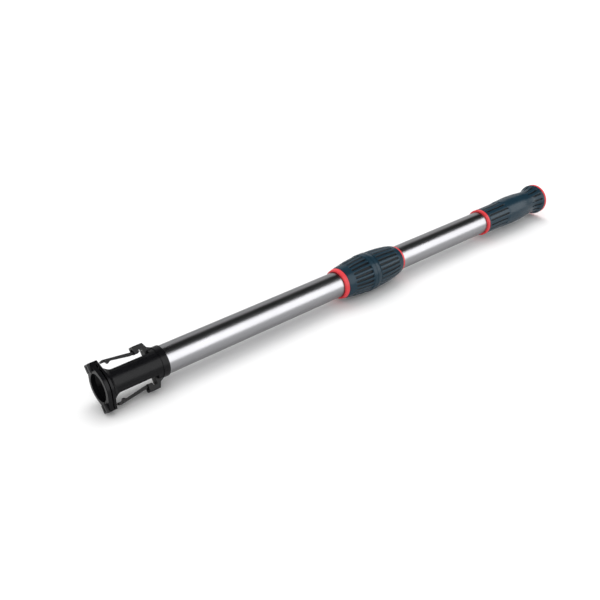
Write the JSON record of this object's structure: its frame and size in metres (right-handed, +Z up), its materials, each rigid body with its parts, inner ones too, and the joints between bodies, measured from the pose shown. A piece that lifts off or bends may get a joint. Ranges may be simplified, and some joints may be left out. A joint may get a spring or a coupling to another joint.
{
  "type": "telescopic window cleaning pole",
  "caption": "Telescopic cleaning pole with a latching tool socket, polished tubes, a twist-lock collar and a soft grip.",
  "frame": {"origin": "on the floor under the middle of the closed pole's length, below the pole's axis", "axes": "+X along the pole towards the grip, +Z up, the head's lug line turned 37 degrees about the pole's axis"},
  "size_m": [0.658, 0.0426, 0.0426],
  "materials": {
    "black_plastic": "satin moulded",
    "tube_metal": "polished",
    "inner_metal": "drawn, satin",
    "navy_soft": "soft-touch satin",
    "red_trim": "satin moulded",
    "hard_core": "moulded",
    "white_nylon": "natural nylon",
    "pin_steel": "turned"
  },
  "bodies": {
    "handle": {"handle_tube": "tube_metal", "collar_base": "hard_core", "base_pin": "pin_steel", "base_sleeve": "navy_soft", "base_ring": "red_trim", "front_guide_bush": "white_nylon", "grip_front_ring": "red_trim", "grip_sleeve": "navy_soft", "grip_end_ring": "red_trim", "end_cap": "hard_core"},
    "collet": {"collet": "white_nylon", "thrust_washer": "white_nylon"},
    "lock_nut": {"nut_core": "hard_core", "nut_sleeve": "navy_soft", "nut_ring": "red_trim"},
    "extension": {"head_tube": "tube_metal", "socket_body": "black_plastic", "socket_rivet": "pin_steel", "latch_pin_upper": "pin_steel", "latch_pin_lower": "pin_steel", "reducer_bush": "black_plastic", "reducer_pin": "pin_steel", "inner_tube": "inner_metal", "rear_guide_bush": "white_nylon"},
    "latch_upper": {"latch_arm_upper": "black_plastic", "latch_spring_upper": "pin_steel"},
    "latch_lower": {"latch_arm_lower": "black_plastic", "latch_spring_lower": "pin_steel"}
  },
  "joints": [
    {"name": "extension_slide", "type": "slide", "parent": "handle", "child": "extension", "axis": [-1, 0, 0], "range_m": [0, 0.2]},
    {"name": "nut_pull", "type": "slide", "parent": "handle", "child": "collet", "axis": [-1, 0, 0], "range_m": [0, 0.0016]},
    {"name": "nut_twist", "type": "hinge", "parent": "collet", "child": "lock_nut", "pos_m": [-0.018, 0, 0.0214], "axis": [-1, 0, 0], "range_deg": [0, 270]},
    {"name": "latch_upper_swing", "type": "hinge", "parent": "extension", "child": "latch_upper", "pos_m": [-0.283, 0.01005, 0.03474], "axis": [0, 0.7986, -0.6018], "range_deg": [0, 12], "stiffness_Nm_per_rad": 0.12, "springref_deg": -11.46, "deforming": ["latch_spring_upper"]},
    {"name": "latch_lower_swing", "type": "hinge", "parent": "extension", "child": "latch_lower", "pos_m": [-0.283, -0.01005, 0.00806], "axis": [0, -0.7986, 0.6018], "range_deg": [0, 12], "stiffness_Nm_per_rad": 0.12, "springref_deg": -11.46, "deforming": ["latch_spring_lower"]}
  ],
  "couplings": [
    {"joint": "nut_pull", "follows": "nut_twist", "m_per_rad": 0.00031831}
  ]
}
